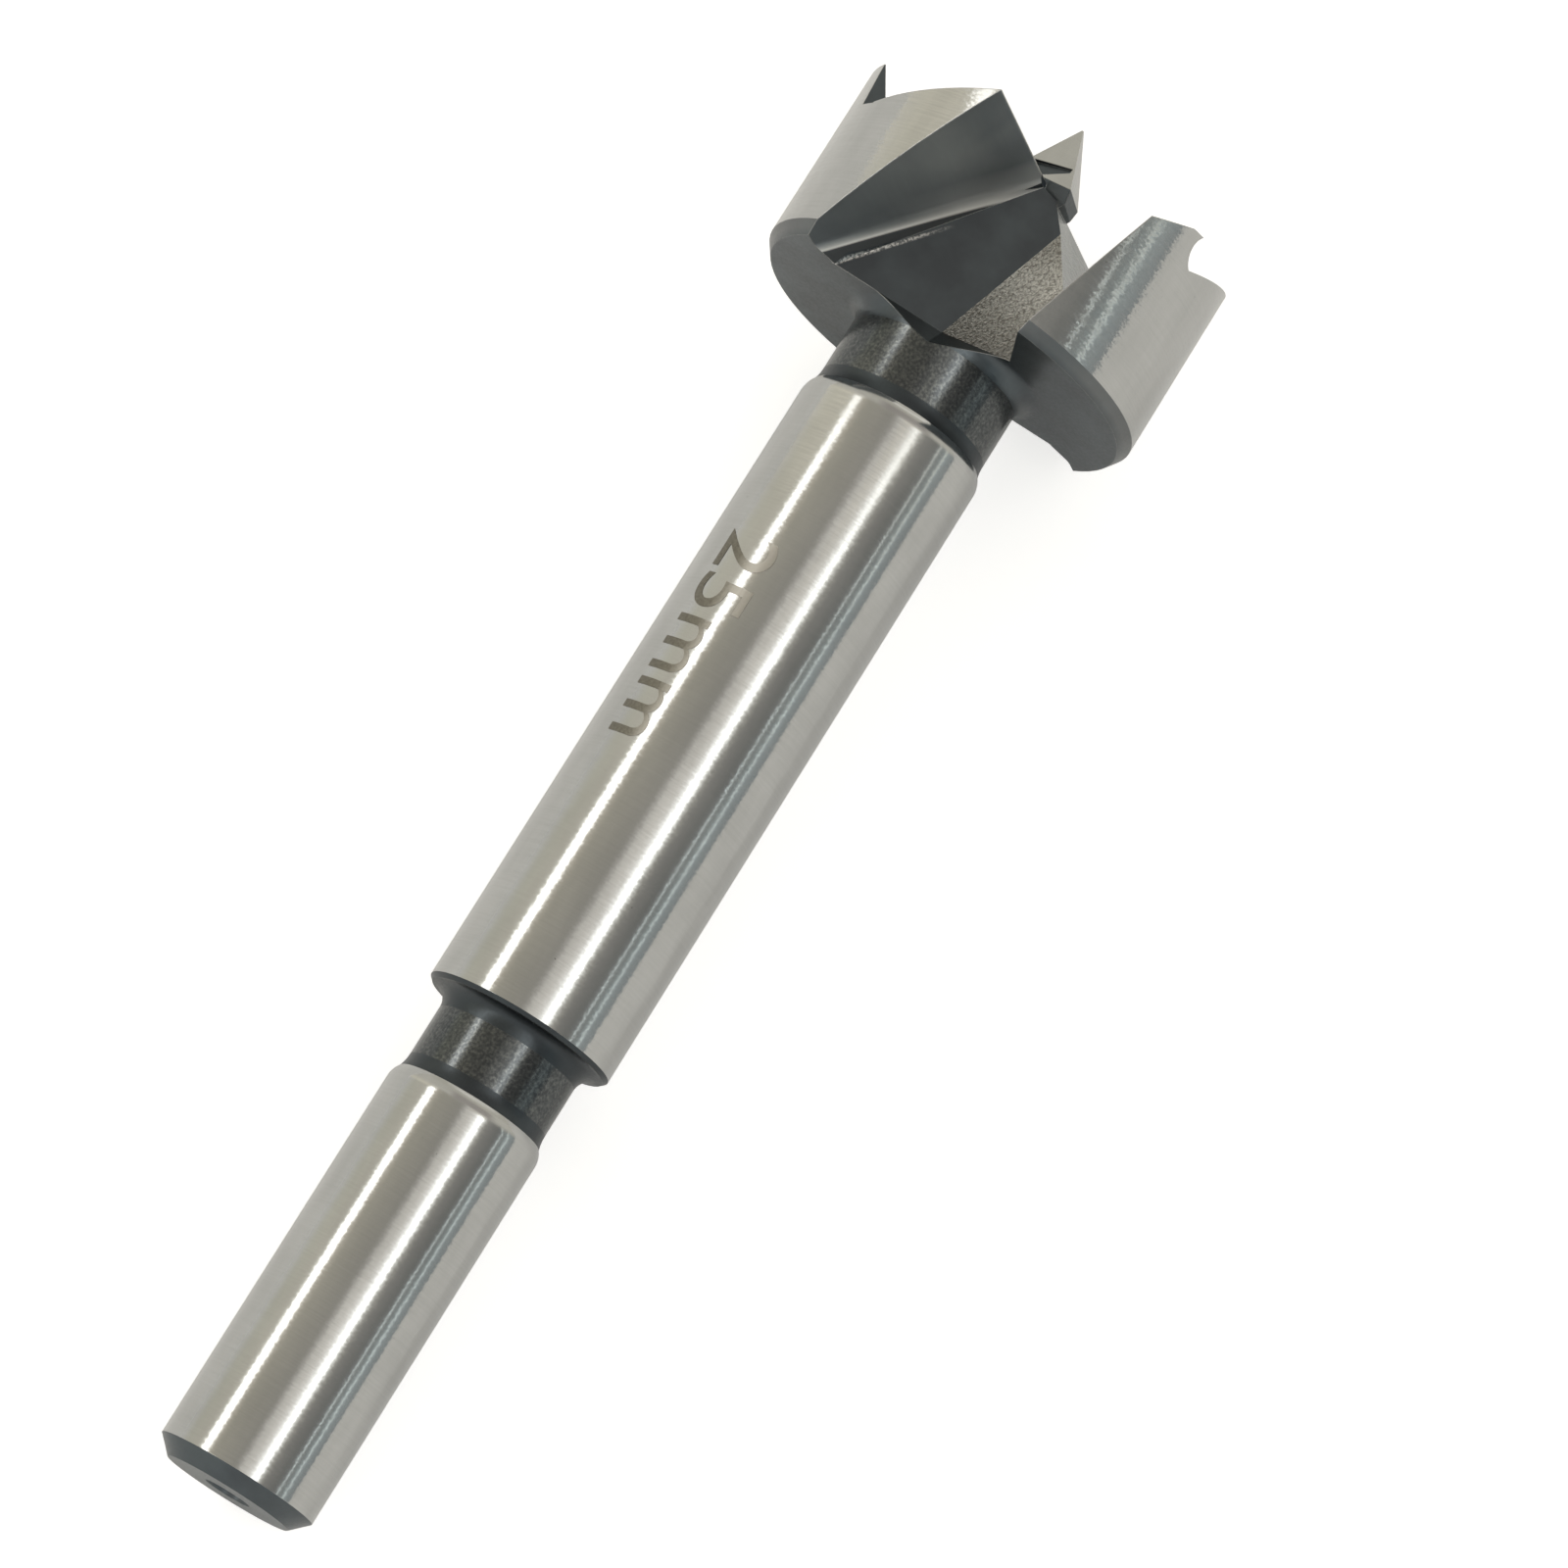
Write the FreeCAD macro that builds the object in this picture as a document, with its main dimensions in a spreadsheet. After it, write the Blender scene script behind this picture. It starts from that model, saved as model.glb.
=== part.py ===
import FreeCAD, Part
import math
import os
import re
import Sketcher

# Forstner bit, 25 mm, for wood. One forged and ground piece of tool steel: a 10 mm shank,
# a 12 mm body, a necked-down stem and the cutting head with two lifters and a toothed rim.
# Millimetres. The bit is built standing on its shank end, tip up, with the two cutting
# edges along X, and is then laid down as it comes to rest on a table.

doc = FreeCAD.newDocument("forstner_bit")

# Driving sizes. Angles are in degrees.
SIZES = {
    "shank_diameter": 10.0,
    "shank_length": 25.9,
    "shank_chamfer": 1.0,
    "lower_neck_diameter": 9.1,
    "lower_neck_length": 5.25,
    "lower_neck_fillet": 1.15,
    "body_diameter": 12.0,
    "body_length": 42.5,
    "body_edge_break": 0.25,
    "shoulder_length": 0.9,
    "neck_flare_length": 0.9,
    "neck_flare_step": 0.15,
    "upper_neck_diameter": 11.1,
    "upper_neck_length": 5.6,
    "upper_neck_fillet": 1.1,
    "centre_hole_diameter": 1.8,
    "centre_hole_depth": 2.6,
    "drill_point_angle": 118.0,
    "countersink_diameter": 3.0,
    "countersink_angle": 60.0,
    "head_diameter": 25.0,
    "rear_chamfer_width": 0.55,
    "rear_chamfer_height": 0.8,
    "edge_height": 11.2,
    "tooth_height": 11.5,
    "cup_floor_height": 5.1,
    "web_thickness": 1.0,
    "land_width": 2.0,
    "relief_angle": 18.4,
    "back_angle": 53.5,
    "rim_thickness": 2.3,
    "rim_bevel_angle": 29.0,
    "rim_edge_width": 0.08,
    "ramp_angle": 39.2,
    "ramp_overlap_angle": 1.2,
    "ramp_lead": 3.0,
    "rim_inside_radius": 7.5,
    "first_tooth_angle": 47.6,
    "first_tooth_lean_angle": 3.4,
    "first_crest_angle": 15.4,
    "first_tooth_back_radius": 45.0,
    "second_gap_depth": 2.45,
    "second_gap_root_angle": 1.8,
    "second_tooth_angle": 104.6,
    "second_tooth_drop": 0.35,
    "second_tooth_hook_ratio": 0.62,
    "second_crest_angle": 5.0,
    "second_crest_drop": 0.45,
    "trailing_angle": 142.0,
    "trailing_drop": 3.45,
    "leading_cut_direction": 43.0,
    "middle_cut_direction": 92.0,
    "trailing_cut_direction": 120.0,
    "rake_angle": 30.3,
    "rake_foot_radius": 1.5,
    "rake_foot_turn": 30.0,
    "corner_rear_reach": 0.83,
    "corner_rear_width": 1.1,
    "corner_front_reach": 0.3,
    "corner_front_width": 0.15,
    "floor_direction": 28.4,
    "floor_offset": 3.5,
    "floor_lean": 10.1,
    "flank_direction": -1.5,
    "flank_offset": 3.31,
    "flank_lean": 16.9,
    "heel_direction": -68.6,
    "heel_offset": 4.34,
    "heel_lean": 15.8,
    "runout_drop": 1.8,
    "runout_reach": 2.2,
    "brad_height": 4.5,
    "brad_foot": 4.25,
    "brad_direction": 6.4,
    "brad_front_angle": 18.7,
    "brad_side_angle": 23.4,
    "brad_tip_width": 0.12,
    "brad_undercut": 0.8,
    "brad_undercut_width": 3.7,
    "brad_root_depth": 1.6,
    "brad_root_thickness": 1.9,
    "brad_root_width": 2.4,
    "brad_root_skew": 0.45,
    "notch_top": 2.85,
    "notch_top_drop": 0.45,
    "notch_near_end": 1.2,
    "notch_far_end": 1.15,
    "notch_slope_start": -0.45,
    "notch_slope_rise": 1.1,
    "notch_overcut": 0.05,
    "notched_thickness": 1.6,
    "cut_margin": 1.0,
}

sheet = doc.addObject("Spreadsheet::Sheet", "Sizes")
for row, (alias, size) in enumerate(SIZES.items(), start=1):
    sheet.set("A%d" % row, alias.replace("_", " "))
    sheet.set("B%d" % row, repr(size))
    sheet.setAlias("B%d" % row, alias)
doc.recompute()


def of(text):
    """Turn the plain names in a formula into references to the sheet."""
    return re.sub(r"\b(%s)\b" % "|".join(SIZES), r"Sizes.\1", text)


def number(formula):
    """The value of a formula of the sheet's sizes."""
    result = sheet.evalExpression(of(formula))
    return float(getattr(result, "Value", result))


def datum(body, role):
    """The body's own origin plane or axis with this role."""
    for feature in body.Origin.OriginFeatures:
        if feature.Role == role:
            return feature


def outline(body, name, role, points, height=None, turn=None, stand_off=None):
    """A closed sketch through points, each (x, y) or (x, y, radius of the arc that follows).

    Coordinates and radii are formulas of the sheet's sizes. A positive radius bulges to the
    right of the path and a negative one to the left. height lifts a level sketch, and turn
    and stand_off swing an upright one about the bit's axis to face the rim from outside.
    """
    sketch = body.newObject("Sketcher::SketchObject", name)
    sketch.AttachmentSupport = [(datum(body, role), "")]
    sketch.MapMode = "FlatFace"
    if height is not None:
        sketch.setExpression("AttachmentOffset.Base.z", of(height))
    if turn is not None:
        swing = FreeCAD.Rotation(FreeCAD.Vector(0, 1, 0), 1)
        sketch.AttachmentOffset = FreeCAD.Placement(FreeCAD.Vector(), swing)
        sketch.setExpression("AttachmentOffset.Rotation.Angle", of("90 - (%s)" % turn))
        sketch.setExpression("AttachmentOffset.Base.x", of("(%s) * cos(%s)" % (stand_off, turn)))
        sketch.setExpression("AttachmentOffset.Base.z", of("(%s) * sin(%s)" % (stand_off, turn)))

    corners = [FreeCAD.Vector(number(point[0]), number(point[1]), 0) for point in points]
    count = len(corners)
    ends = []
    for index, point in enumerate(points):
        start = corners[index]
        end = corners[(index + 1) % count]
        if len(point) == 2:
            edge = sketch.addGeometry(Part.LineSegment(start, end))
            ends.append((edge, 1, 2))
            continue
        bulge = number(point[2])
        chord = end - start
        across = FreeCAD.Vector(chord.y, -chord.x, 0).normalize()
        half = chord.Length / 2
        rise = abs(bulge) - math.sqrt(max(bulge * bulge - half * half, 0.0))
        middle = (start + end) * 0.5 + across * math.copysign(rise, bulge)
        edge = sketch.addGeometry(Part.Arc(start, middle, end))
        forward = sketch.getPoint(edge, 1).distanceToPoint(start) < 1e-6
        ends.append((edge, 1, 2) if forward else (edge, 2, 1))
        radius = sketch.addConstraint(Sketcher.Constraint("Radius", edge, abs(bulge)))
        sketch.setExpression("Constraints[%d]" % radius, of("abs(%s)" % point[2]))
    for index in range(count):
        edge, start, end = ends[index]
        following, first, _ = ends[(index + 1) % count]
        sketch.addConstraint(Sketcher.Constraint("Coincident", edge, end, following, first))
        across = sketch.addConstraint(
            Sketcher.Constraint("DistanceX", -1, 1, edge, start, corners[index].x))
        sketch.setExpression("Constraints[%d]" % across, of(points[index][0]))
        along = sketch.addConstraint(
            Sketcher.Constraint("DistanceY", -1, 1, edge, start, corners[index].y))
        sketch.setExpression("Constraints[%d]" % along, of(points[index][1]))
    return sketch


def changed(feature, sign):
    """Recompute and make sure that the feature added (1) or removed (-1) material."""
    doc.recompute()
    before = feature.BaseFeature.Shape.Volume if feature.BaseFeature else 0.0
    if (feature.Shape.Volume - before) * sign <= 0:
        raise RuntimeError("%s did not change the solid as it should" % feature.Name)
    return feature


def revolve(body, kind, name, sketch, sign):
    feature = body.newObject("PartDesign::" + kind, name)
    feature.Profile = sketch
    feature.ReferenceAxis = (sketch, ["V_Axis"])
    feature.Angle = 360
    return changed(feature, sign)


def pocket(body, name, sketch, depth, reverse=False):
    feature = body.newObject("PartDesign::Pocket", name)
    feature.Profile = sketch
    feature.setExpression("Length", of(depth))
    feature.Reversed = reverse
    return changed(feature, -1)


def loft(body, kind, name, sketches, sign):
    feature = body.newObject("PartDesign::" + kind, name)
    feature.Profile = sketches[0]
    feature.Sections = sketches[1:]
    feature.Ruled = True
    return changed(feature, sign)


def both_sides(body, name, features):
    """Repeat cuts half a turn round the bit's axis, for its second lobe."""
    pattern = body.newObject("PartDesign::PolarPattern", name)
    pattern.Originals = features
    pattern.Axis = (datum(body, "Z_Axis"), [""])
    pattern.Angle = 360
    pattern.Occurrences = 2
    body.Tip = pattern
    return changed(pattern, -1)


# Levels up the bit and its radii.
SHANK = "shank_diameter / 2"
NECK = "lower_neck_diameter / 2"
BODY = "body_diameter / 2"
STEM = "upper_neck_diameter / 2"
HEAD = "head_diameter / 2"
BODY_START = "(shank_length + lower_neck_length)"
BODY_END = "(shank_length + lower_neck_length + body_length)"
REAR = "(shank_length + lower_neck_length + body_length + upper_neck_length)"
RIM = "(%s + rear_chamfer_height)" % REAR
EDGE = "(%s + edge_height)" % RIM
TOOTH = "(%s + tooth_height)" % RIM
CUP = "(%s + cup_floor_height)" % RIM
CLEAR_RISE = "(max(edge_height; tooth_height) + cut_margin)"
CLEAR = "(%s + %s)" % (RIM, CLEAR_RISE)
OUTSIDE = "(%s + cut_margin)" % HEAD
TIP = "(%s + brad_height)" % EDGE
FAR = "head_diameter"
SETTLING_ROUNDS = 40

bit = doc.addObject("PartDesign::Body", "Bit")
bit.Label = "forstner_bit"

# Shank, necks, body and the blank of the head, turned from one profile. The shank and the
# body round over into their necks, and the stem flares into the rear face of the head.
def leaving_radius(length, step):
    """Radius of the arc that leaves a cylinder smoothly and gains the step over the length."""
    return "((%s)^2 + (%s)^2) / (2 * (%s))" % (length, step, step)


flare_radius = "-" + leaving_radius("neck_flare_length", "neck_flare_step")
shank_step = "%s - %s - neck_flare_step" % (SHANK, NECK)
body_step = "%s - %s - neck_flare_step" % (BODY, STEM)
blank = outline(bit, "blank_profile", "XZ_Plane", [
    ("0", "0"),
    (SHANK + " - shank_chamfer", "0"),
    (SHANK, "shank_chamfer"),
    (SHANK, "shank_length - shoulder_length", leaving_radius("shoulder_length", shank_step)),
    (NECK + " + neck_flare_step", "shank_length", flare_radius),
    (NECK, "shank_length + neck_flare_length"),
    (NECK, BODY_START + " - lower_neck_fillet", "-lower_neck_fillet"),
    (NECK + " + lower_neck_fillet", BODY_START),
    (BODY + " - body_edge_break", BODY_START),
    (BODY, BODY_START + " + body_edge_break"),
    (BODY, BODY_END + " - shoulder_length", leaving_radius("shoulder_length", body_step)),
    (STEM + " + neck_flare_step", BODY_END, flare_radius),
    (STEM, BODY_END + " + neck_flare_length"),
    (STEM, REAR + " - upper_neck_fillet", "-upper_neck_fillet"),
    (STEM + " + upper_neck_fillet", REAR),
    (HEAD + " - rear_chamfer_width", REAR),
    (HEAD, RIM),
    (HEAD, EDGE),
    ("0", EDGE),
])
revolve(bit, "Revolution", "blank", blank, 1)

# Centre hole in the shank's end, left from turning between centres.
pilot = "centre_hole_diameter / 2"
sink = "countersink_diameter / 2"
sink_depth = "(%s - %s) / tan(countersink_angle / 2)" % (sink, pilot)
hole = outline(bit, "centre_hole_profile", "XZ_Plane", [
    ("0", "0"),
    (sink, "0"),
    (pilot, sink_depth),
    (pilot, "centre_hole_depth"),
    ("0", "centre_hole_depth + %s / tan(drill_point_angle / 2)" % pilot),
])
revolve(bit, "Groove", "centre_hole", hole, -1)

# Clearance behind each cutting edge: a narrow land at the relief angle, a steep back, and
# the floor of the cup inside the rim. The front cut is on the edge's own side of the axis.
half_web = "web_thickness / 2"
land_end = "%s - land_width" % half_web
land_foot = "%s - land_width * tan(relief_angle)" % EDGE
back_end = "%s - land_width - (%s - %s) / tan(back_angle)" % (half_web, land_foot, CUP)
relief = [
    (land_end, land_foot),
    (back_end, CUP),
    ("-" + OUTSIDE, CUP),
    ("-" + OUTSIDE, CLEAR),
]
front_start = [(half_web, CLEAR), (half_web, EDGE)]
rear_start = [
    ("-" + half_web, CLEAR),
    ("-" + half_web, "%s - web_thickness * tan(relief_angle)" % EDGE),
]
front = outline(bit, "front_relief_profile", "YZ_Plane", front_start + relief)
rear = outline(bit, "rear_relief_profile", "YZ_Plane", rear_start + relief)
front_relief = pocket(bit, "front_relief", front, OUTSIDE, reverse=True)
rear_relief = pocket(bit, "rear_relief", rear, OUTSIDE)
both_sides(bit, "reliefs", [front_relief, rear_relief])

# The rim: a wall bevelled on its inside to a knife edge that scores the hole's outline.
bevel_foot = "%s - (rim_thickness - rim_edge_width) / tan(rim_bevel_angle)" % TOOTH
rim_root = "%s - cut_margin" % CUP
rim = outline(bit, "rim_profile", "XZ_Plane", [
    (HEAD, rim_root),
    (HEAD, TOOTH),
    (HEAD + " - rim_edge_width", TOOTH),
    (HEAD + " - rim_thickness", bevel_foot),
    (HEAD + " - rim_thickness", rim_root),
])
revolve(bit, "Revolution", "rim", rim, 1)

# The rim behind each cutting edge falls away in the plane of the edge's land.
ramp_end = "-%s * sin(ramp_angle)" % HEAD
LEDGE = "(%s - (%s + %s * sin(ramp_angle)) * tan(relief_angle))" % (EDGE, half_web, HEAD)
ramp = outline(bit, "ramp_profile", "YZ_Plane", [
    (half_web, EDGE),
    (ramp_end, LEDGE),
    (ramp_end, CLEAR),
    (half_web + " + ramp_lead", CLEAR),
    (half_web + " + ramp_lead", EDGE),
])
ramp_cut = pocket(bit, "ramp", ramp, OUTSIDE, reverse=True)


# Saw teeth of the rim. Each gap is cut from outside, square to the rim at its own direction.
# Directions and angles run round the rim from the cutting edge backwards.
def tooth_gap(name, direction, corners):
    """Cut a gap through (angle, height) corners, some with the radius of the arc that follows."""
    profile = [
        ("-%s * sin(%s - (%s))" % (HEAD, corner[0], direction),) + corner[1:] for corner in corners
    ]
    sketch = outline(bit, name + "_profile", "XZ_Plane", profile, turn=direction, stand_off=OUTSIDE)
    return pocket(bit, name, sketch, "%s - rim_inside_radius" % OUTSIDE)


first_crest_end = "first_tooth_angle + first_crest_angle"
second_gap_root = "second_tooth_angle - second_gap_root_angle"
leading_gap = tooth_gap("leading_gap", "leading_cut_direction", [
    ("ramp_angle - ramp_overlap_angle", LEDGE),
    ("first_tooth_angle - first_tooth_lean_angle", LEDGE),
    ("first_tooth_angle", TOOTH),
    ("first_tooth_angle", CLEAR),
    ("ramp_angle - ramp_overlap_angle", CLEAR),
])
middle_gap = tooth_gap("middle_gap", "middle_cut_direction", [
    (first_crest_end, TOOTH, "first_tooth_back_radius"),
    (second_gap_root, TOOTH + " - second_gap_depth",
     "-second_tooth_hook_ratio * (second_gap_depth - second_tooth_drop)"),
    ("second_tooth_angle", TOOTH + " - second_tooth_drop"),
    ("second_tooth_angle", CLEAR),
    (first_crest_end, CLEAR),
])
trailing_gap = tooth_gap("trailing_gap", "trailing_cut_direction", [
    (second_gap_root, TOOTH + " - second_tooth_drop"),
    ("second_tooth_angle", TOOTH + " - second_tooth_drop"),
    ("second_tooth_angle + second_crest_angle", TOOTH + " - second_crest_drop"),
    ("trailing_angle", TOOTH + " - trailing_drop"),
    ("trailing_angle", CLEAR),
    (second_gap_root, CLEAR),
])
both_sides(bit, "teeth", [ramp_cut, leading_gap, middle_gap, trailing_gap])


# Gullets. Each is bounded by the rake face under its cutting edge, the ground floor along
# the web, the forged flank and the heel of the other lobe. In a level section every face is
# a line, at a distance from the axis that changes with the height above the rear rim.
def crossing(first, second):
    """Where two faces' lines cross, each line (direction of its normal, distance)."""
    (turn_a, away_a), (turn_b, away_b) = first, second
    spread = "sin((%s) - (%s))" % (turn_b, turn_a)
    across = "((%s) * sin(%s) - (%s) * sin(%s)) / %s" % (away_a, turn_b, away_b, turn_a, spread)
    along = "((%s) * cos(%s) - (%s) * cos(%s)) / %s" % (away_b, turn_a, away_a, turn_b, spread)
    return across, along


def shifted(point, turn, distance):
    """A point moved by a distance in a direction."""
    across, along = point
    return (
        "%s + (%s) * cos(%s)" % (across, distance, turn),
        "%s + (%s) * sin(%s)" % (along, distance, turn),
    )


def gullet_section(name, level, rise, reach, width, shift=None):
    """The gullet's outline at a level. A flat fills its corner from the rake to the floor."""
    rake = ("90", "%s - (edge_height - (%s)) * tan(rake_angle)" % (half_web, rise))
    floor = ("floor_direction", "floor_offset - (%s) * tan(floor_lean)" % rise)
    flank = ("flank_direction", "flank_offset - (%s) * tan(flank_lean)" % rise)
    heel = ("heel_direction", "-heel_offset - (%s) * tan(heel_lean)" % rise)
    root = crossing(rake, floor)
    foot_end = shifted(root, "0", reach)
    foot_end = shifted(foot_end, "90", "rake_foot_radius * (1 - cos(rake_foot_turn))")
    foot_start = shifted(root, "0", "%s + rake_foot_radius * sin(rake_foot_turn)" % reach)
    corners = [
        shifted(root, "0", FAR),
        foot_start,
        foot_end,
        shifted(root, "floor_direction + 90", width),
        crossing(floor, flank),
        crossing(flank, heel),
        shifted(crossing(flank, heel), "heel_direction + 90", FAR),
    ]
    if shift:
        outward = "(floor_direction + flank_direction) / 2"
        corners = [shifted(corner, outward, shift) for corner in corners]
    corners[1] = corners[1] + ("-rake_foot_radius",)
    return outline(bit, name, "XY_Plane", corners, height=level)


runout = REAR + " - runout_drop"
corner_rear = ("corner_rear_reach", "corner_rear_width")
corner_front = ("corner_front_reach", "corner_front_width")
gullet = loft(bit, "SubtractiveLoft", "gullet", [
    gullet_section("gullet_runout", runout, "-rear_chamfer_height", *corner_rear, "runout_reach"),
    gullet_section("gullet_rear", REAR, "-rear_chamfer_height", *corner_rear),
    gullet_section("gullet_front", CLEAR, CLEAR_RISE, *corner_front),
], -1)
both_sides(bit, "gullets", [gullet])


# Brad point: a four-sided pyramid that starts first and centres the bit. It is undercut
# towards a thinner root between the inner ends of the two cutting edges, and a notch is
# ground into its foot over each of them.
def brad_section(name, level, along, across, behind=None):
    """Half sizes along and across the brad. The corner behind each face may lie further back."""
    corners = []
    for side, end in ((1, 1), (-1, 1), (-1, -1), (1, -1)):
        reach = behind if behind and side != end else across
        corner = shifted(("0", "0"), "brad_direction", "%d * (%s)" % (side, reach))
        corners.append(shifted(corner, "brad_direction + 90", "%d * (%s)" % (end, along)))
    return outline(bit, name, "XY_Plane", corners, height=level)


FOOT = "(%s - brad_foot)" % TIP
tip_half = "brad_tip_width / 2"
root = ("brad_root_thickness / 2", "brad_root_thickness / 2 + brad_root_skew")
foot = (
    "%s + brad_foot * tan(brad_side_angle)" % tip_half,
    "%s + brad_foot * tan(brad_front_angle)" % tip_half,
)
loft(bit, "AdditiveLoft", "brad_point", [
    brad_section("brad_root_section", EDGE + " - brad_root_depth", "brad_root_width / 2", *root),
    brad_section("brad_undercut_section", FOOT + " - brad_undercut", "brad_undercut_width / 2", *root),
    brad_section("brad_foot_section", FOOT, *foot),
    brad_section("brad_tip_section", TIP, tip_half, tip_half),
], 1)
notch_top = TIP + " - notch_top"
notch_floor = FOOT + " - notch_overcut"
notch = outline(bit, "brad_notch_profile", "XZ_Plane", [
    ("-notch_near_end", notch_floor),
    ("notch_slope_start", notch_floor),
    ("notch_far_end", notch_floor + " + notch_slope_rise"),
    ("notch_far_end", notch_top),
    ("-notch_near_end", notch_top + " - notch_top_drop"),
], turn="-brad_direction", stand_off="brad_height")
brad_notch = pocket(bit, "brad_notch", notch, "brad_height - notched_thickness / 2")
both_sides(bit, "brad_notches", [brad_notch])
doc.recompute()

# At rest the bit lies on three points: the edge of its shank's end, the corner of one
# cutting edge, and the rear corner of the other lobe's heel.
head_radius = number(HEAD)
edge_side = number(half_web)
edge_corner = FreeCAD.Vector(-math.sqrt(head_radius ** 2 - edge_side ** 2), -edge_side, number(EDGE))
heel_away = -number("heel_offset")
heel_along = math.sqrt(head_radius ** 2 - heel_away ** 2)
heel_turn = FreeCAD.Rotation(FreeCAD.Vector(0, 0, 1), 180 + number("heel_direction"))
heel_corner = heel_turn.multVec(FreeCAD.Vector(heel_away, heel_along, number(RIM)))
end_centre = FreeCAD.Vector(0, 0, number("shank_chamfer"))
down = FreeCAD.Vector(edge_corner.x + heel_corner.x, edge_corner.y + heel_corner.y, 0).normalize()
for _ in range(SETTLING_ROUNDS):
    radial = FreeCAD.Vector(down.x, down.y, 0).normalize()
    contact = end_centre + radial * number(SHANK)
    facing = (edge_corner - contact).cross(heel_corner - contact).normalize()
    down = facing if facing.dot(down) > 0 else facing * -1
upright = FreeCAD.Rotation(down, FreeCAD.Vector(0, 0, -1))
axis = upright.multVec(FreeCAD.Vector(0, 0, 1))
level_turn = FreeCAD.Rotation(FreeCAD.Vector(0, 0, 1), -math.degrees(math.atan2(axis.y, axis.x)))
bit.Placement = FreeCAD.Placement(FreeCAD.Vector(), level_turn.multiply(upright))
doc.recompute()
box = bit.Shape.optimalBoundingBox(False)
to_origin = FreeCAD.Vector(-(box.XMin + box.XMax) / 2, -(box.YMin + box.YMax) / 2, -box.ZMin)
bit.Placement = FreeCAD.Placement(to_origin, bit.Placement.Rotation)
doc.recompute()

# Write the solid once everything in the document is sound.
for item in doc.Objects:
    faults = [word for word in item.State if word in ("Invalid", "Error")]
    if faults:
        raise RuntimeError("%s is %s" % (item.Name, ", ".join(faults)))
os.makedirs("parts", exist_ok=True)
for piece in (bit,):
    if piece.Shape.isNull() or not piece.Shape.isValid():
        raise RuntimeError("%s has no valid shape" % piece.Label)
    if len(piece.Shape.Solids) != 1:
        raise RuntimeError("%s is %d solids" % (piece.Label, len(piece.Shape.Solids)))
    piece.Shape.exportStep("parts/%s.step" % piece.Label)
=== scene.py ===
from math import cos, hypot, pi, radians, sin

import bmesh
import bpy
from mathutils import Euler, Matrix, Vector


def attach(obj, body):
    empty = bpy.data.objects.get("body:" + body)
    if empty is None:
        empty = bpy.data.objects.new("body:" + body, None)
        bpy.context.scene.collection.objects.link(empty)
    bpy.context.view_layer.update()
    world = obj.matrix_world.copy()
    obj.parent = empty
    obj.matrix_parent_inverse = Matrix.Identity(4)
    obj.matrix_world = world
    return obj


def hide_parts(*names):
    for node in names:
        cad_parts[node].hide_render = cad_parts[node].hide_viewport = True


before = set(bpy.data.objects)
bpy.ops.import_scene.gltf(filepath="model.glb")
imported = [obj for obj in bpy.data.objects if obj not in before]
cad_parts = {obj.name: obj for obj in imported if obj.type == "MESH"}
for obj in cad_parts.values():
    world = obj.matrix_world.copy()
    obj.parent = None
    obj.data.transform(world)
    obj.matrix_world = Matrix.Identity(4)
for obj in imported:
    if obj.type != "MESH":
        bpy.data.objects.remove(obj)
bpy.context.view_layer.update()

# The bit: one bar of tool steel, forged, turned and ground to a shank, a thicker body and a
# cutting head. Its own axis stands up from the shank's end, in millimetres, and the bit lies
# on the floor on that end's edge and on two corners of the head.
MM = 0.001
BIT_PLACE = Vector((-0.04757017, 0.0, 0.00490547))
BIT_TURN = Euler((radians(73.9434), radians(-73.4191), radians(105.4213)))
BIT_AXIS = (0.99688, 0.0, 0.07893)


def srgb(text):
    """A hex colour as it is seen, as the linear colour that a shader takes."""
    parts = [int(text[i:i + 2], 16) / 255 for i in (1, 3, 5)]
    return [p / 12.92 if p <= 0.04045 else ((p + 0.055) / 1.055) ** 2.4 for p in parts] + [1.0]


def node(tree, kind, inputs=(), stops=(), **settings):
    """Add a shader node. Its inputs are values, outputs or nodes, by name or in the order of
    the sockets in use, and a node stands for its first output in use. Stops are the places
    and colours along a ramp."""
    added = tree.nodes.new("ShaderNode" + kind)
    for name, value in settings.items():
        setattr(added, name, value)
    if stops:
        marks = added.color_ramp.elements
        for place, colour in stops[1:-1]:
            marks.new(place)
        for mark, (place, colour) in zip(marks, stops):
            mark.position = place
            mark.color = colour
    if isinstance(inputs, dict):
        pairs = [(added.inputs[name], value) for name, value in inputs.items()]
    else:
        pairs = zip([socket for socket in added.inputs if socket.enabled], inputs)
    for socket, value in pairs:
        if isinstance(value, bpy.types.Node):
            value = next(output for output in value.outputs if output.enabled)
        if isinstance(value, bpy.types.NodeSocket):
            tree.links.new(value, socket)
        else:
            socket.default_value = value
    return added


def new_steel(name):
    """An empty material, its tree, and a point's place in the bit's own millimetres."""
    material = bpy.data.materials.new(name)
    material.use_nodes = True
    tree = material.node_tree
    tree.nodes.clear()
    where = node(tree, "Mapping", {
        "Vector": node(tree, "TexCoord").outputs["Object"],
        "Location": BIT_PLACE,
        "Rotation": BIT_TURN,
        "Scale": (MM, MM, MM),
    }, vector_type="TEXTURE")
    return material, tree, where


def off_axis(tree, where):
    """How far a point lies from the bit's axis, in millimetres."""
    level = node(tree, "VectorMath", (where, (1.0, 1.0, 0.0)), operation="MULTIPLY")
    return node(tree, "VectorMath", (level,), operation="LENGTH")


# Ground tool steel, cylindrically ground: bright, with fine scratches round the axis that
# stretch every highlight along it, streaks that fray its sides, and a few small pits. Real
# grinding lines are finer still, and are drawn this coarse to show.
ground, tree, where = new_steel("ground_tool_steel")

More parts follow.
